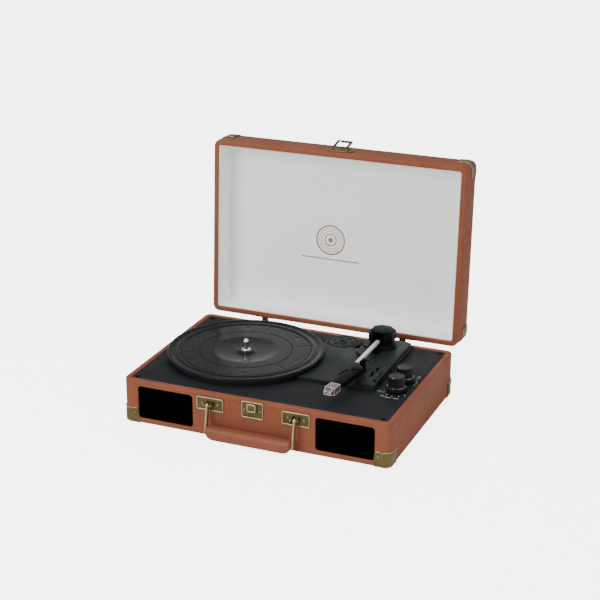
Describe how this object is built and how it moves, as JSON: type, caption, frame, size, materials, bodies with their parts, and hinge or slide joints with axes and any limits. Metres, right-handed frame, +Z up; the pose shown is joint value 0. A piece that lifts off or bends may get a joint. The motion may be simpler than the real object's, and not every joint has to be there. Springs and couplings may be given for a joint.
{
  "type": "suitcase record player",
  "caption": "Portable suitcase record player, lid open: belt-driven platter, tonearm on a rest, front speakers, carrying handle, hasp and corner guards.",
  "frame": {"origin": "on the table under the middle of the whole object with its lid open", "axes": "+X along the width, to the right seen from the front, +Y to the rear, +Z up"},
  "size_m": [0.3586, 0.337, 0.3099],
  "materials": {
    "board": "raw fibreboard",
    "leathercloth": "grained tan leathercloth, satin",
    "grip_cloth": "smooth tan leathercloth, satin",
    "lining": "plain pale lining",
    "antique_brass": "antiqued, bright worn edges",
    "brass_fasteners": "antiqued",
    "deck_black": "fine matt texture",
    "mech_black": "fine matt texture",
    "knob_black": "satin, turned tops",
    "platter_black": "semi-gloss, glossy rolled rim",
    "chrome": "polished",
    "arm_silver": "satin",
    "steel": "plated sheet steel",
    "bush_brass": "turned",
    "rubber": "matt",
    "cone_paper": "pressed paper",
    "grille_cloth": "fine black mesh",
    "board_green": "circuit board",
    "jack_black": "moulded",
    "cartridge_ivory": "translucent moulding",
    "stylus_red": "moulded"
  },
  "bodies": {
    "base": {"base_carcass": "board", "base_wrap": "leathercloth", "deck_plate": "deck_black", "deck_screws": "chrome", "mech_chassis": "mech_black", "spindle": "chrome", "motor": "steel", "drive_belt": "rubber", "amp_board": "board_green", "function_switch": "steel", "volume_pot": "steel", "speaker_left": "steel", "speaker_right": "steel", "speaker_cones": "cone_paper", "grille_left": "grille_cloth", "grille_right": "grille_cloth", "handle_brackets": "antique_brass", "front_screws": "brass_fasteners", "handle_pins": "brass_fasteners", "catch_plate": "antique_brass", "base_corner_guards": "antique_brass", "base_corner_nails": "brass_fasteners", "base_hinge_leaves": "antique_brass", "hinge_pins": "brass_fasteners", "rear_screws": "brass_fasteners", "jack_panel": "mech_black", "dc_jack": "jack_black", "rca_jacks": "chrome", "phones_jack": "jack_black", "feet": "rubber", "tonearm_base": "mech_black", "tonearm_column": "mech_black", "arm_rest": "mech_black"},
    "turntable": {"platter": "platter_black", "platter_bush": "bush_brass"},
    "pulley": {"motor_pulley": "bush_brass"},
    "gimbal": {"gimbal_hood": "mech_black"},
    "tonearm": {"arm_block": "mech_black", "arm_tube": "arm_silver", "headshell": "mech_black", "cartridge": "cartridge_ivory", "stylus": "stylus_red"},
    "clip": {"arm_clip": "mech_black"},
    "lifter": {"cue_lifter": "mech_black"},
    "lever": {"cue_lever": "mech_black"},
    "speed": {"speed_switch": "mech_black"},
    "autostop": {"autostop_switch": "mech_black"},
    "function": {"function_knob": "knob_black"},
    "volume": {"volume_knob": "knob_black"},
    "adapter": {"adapter_45": "knob_black"},
    "handle": {"handle_frame": "antique_brass", "handle_grip": "grip_cloth"},
    "lid": {"lid_carcass": "board", "lid_wrap": "leathercloth", "lid_lining": "lining", "lid_corner_guards": "antique_brass", "lid_fasteners": "brass_fasteners", "lid_hinge_leaves": "antique_brass", "hasp_plate": "antique_brass"},
    "hasp_loop": {"hasp": "antique_brass"}
  },
  "joints": [
    {"name": "lid_hinge", "type": "hinge", "parent": "base", "child": "lid", "pos_m": [0, 0.1024, 0.053], "axis": [-1, 0, 0], "range_deg": [-93.5, 0]},
    {"name": "hasp_pivot", "type": "hinge", "parent": "lid", "child": "hasp_loop", "pos_m": [0, 0.13329, 0.30418], "axis": [-1, 0, 0], "range_deg": [-165, 0]},
    {"name": "handle_swing", "type": "hinge", "parent": "base", "child": "handle", "pos_m": [0, -0.153, 0.047], "axis": [-1, 0, 0], "range_deg": [0, 100]},
    {"name": "platter_spin", "type": "hinge", "parent": "base", "child": "turntable", "pos_m": [-0.066, -0.021, 0.07], "axis": [0, 0, 1], "continuous": true},
    {"name": "pulley_spin", "type": "hinge", "parent": "base", "child": "pulley", "pos_m": [-0.10042, -0.07015, 0.054], "axis": [0, 0, 1], "continuous": true},
    {"name": "arm_swing", "type": "hinge", "parent": "base", "child": "gimbal", "pos_m": [0.091, 0.062, 0.075], "axis": [0, 0, -1], "range_deg": [0, 41]},
    {"name": "arm_lift", "type": "hinge", "parent": "gimbal", "child": "tonearm", "pos_m": [0.091, 0.062, 0.08], "axis": [-1, 0, 0], "range_deg": [0, 22]},
    {"name": "arm_clip_turn", "type": "hinge", "parent": "base", "child": "clip", "pos_m": [0.0977, -0.026, 0.0833], "axis": [0, -1, 0], "range_deg": [0, 180]},
    {"name": "cue_lever_lift", "type": "hinge", "parent": "base", "child": "lever", "pos_m": [0.1205, -0.023, 0.067], "axis": [-1, 0, 0], "range_deg": [0, 38]},
    {"name": "cue_lifter_rise", "type": "slide", "parent": "base", "child": "lifter", "axis": [0, 0, 1], "range_m": [0, 0.0034]},
    {"name": "speed_slide", "type": "slide", "parent": "base", "child": "speed", "axis": [0, 1, 0], "range_m": [-0.004, 0.004]},
    {"name": "autostop_slide", "type": "slide", "parent": "base", "child": "autostop", "axis": [0, 1, 0], "range_m": [0, 0.005]},
    {"name": "function_turn", "type": "hinge", "parent": "base", "child": "function", "pos_m": [0.1505, -0.052, 0.07], "axis": [0, 0, -1], "range_deg": [-60, 60]},
    {"name": "volume_turn", "type": "hinge", "parent": "base", "child": "volume", "pos_m": [0.1505, -0.0205, 0.07], "axis": [0, 0, -1], "range_deg": [0, 280]},
    {"name": "adapter_lift", "type": "slide", "parent": "base", "child": "adapter", "axis": [0, 0, 1], "range_m": [0, 0.04]}
  ],
  "couplings": [
    {"joint": "pulley_spin", "follows": "platter_spin", "ratio": 10.4},
    {"joint": "cue_lifter_rise", "follows": "cue_lever_lift", "m_per_rad": 0.0051259}
  ]
}
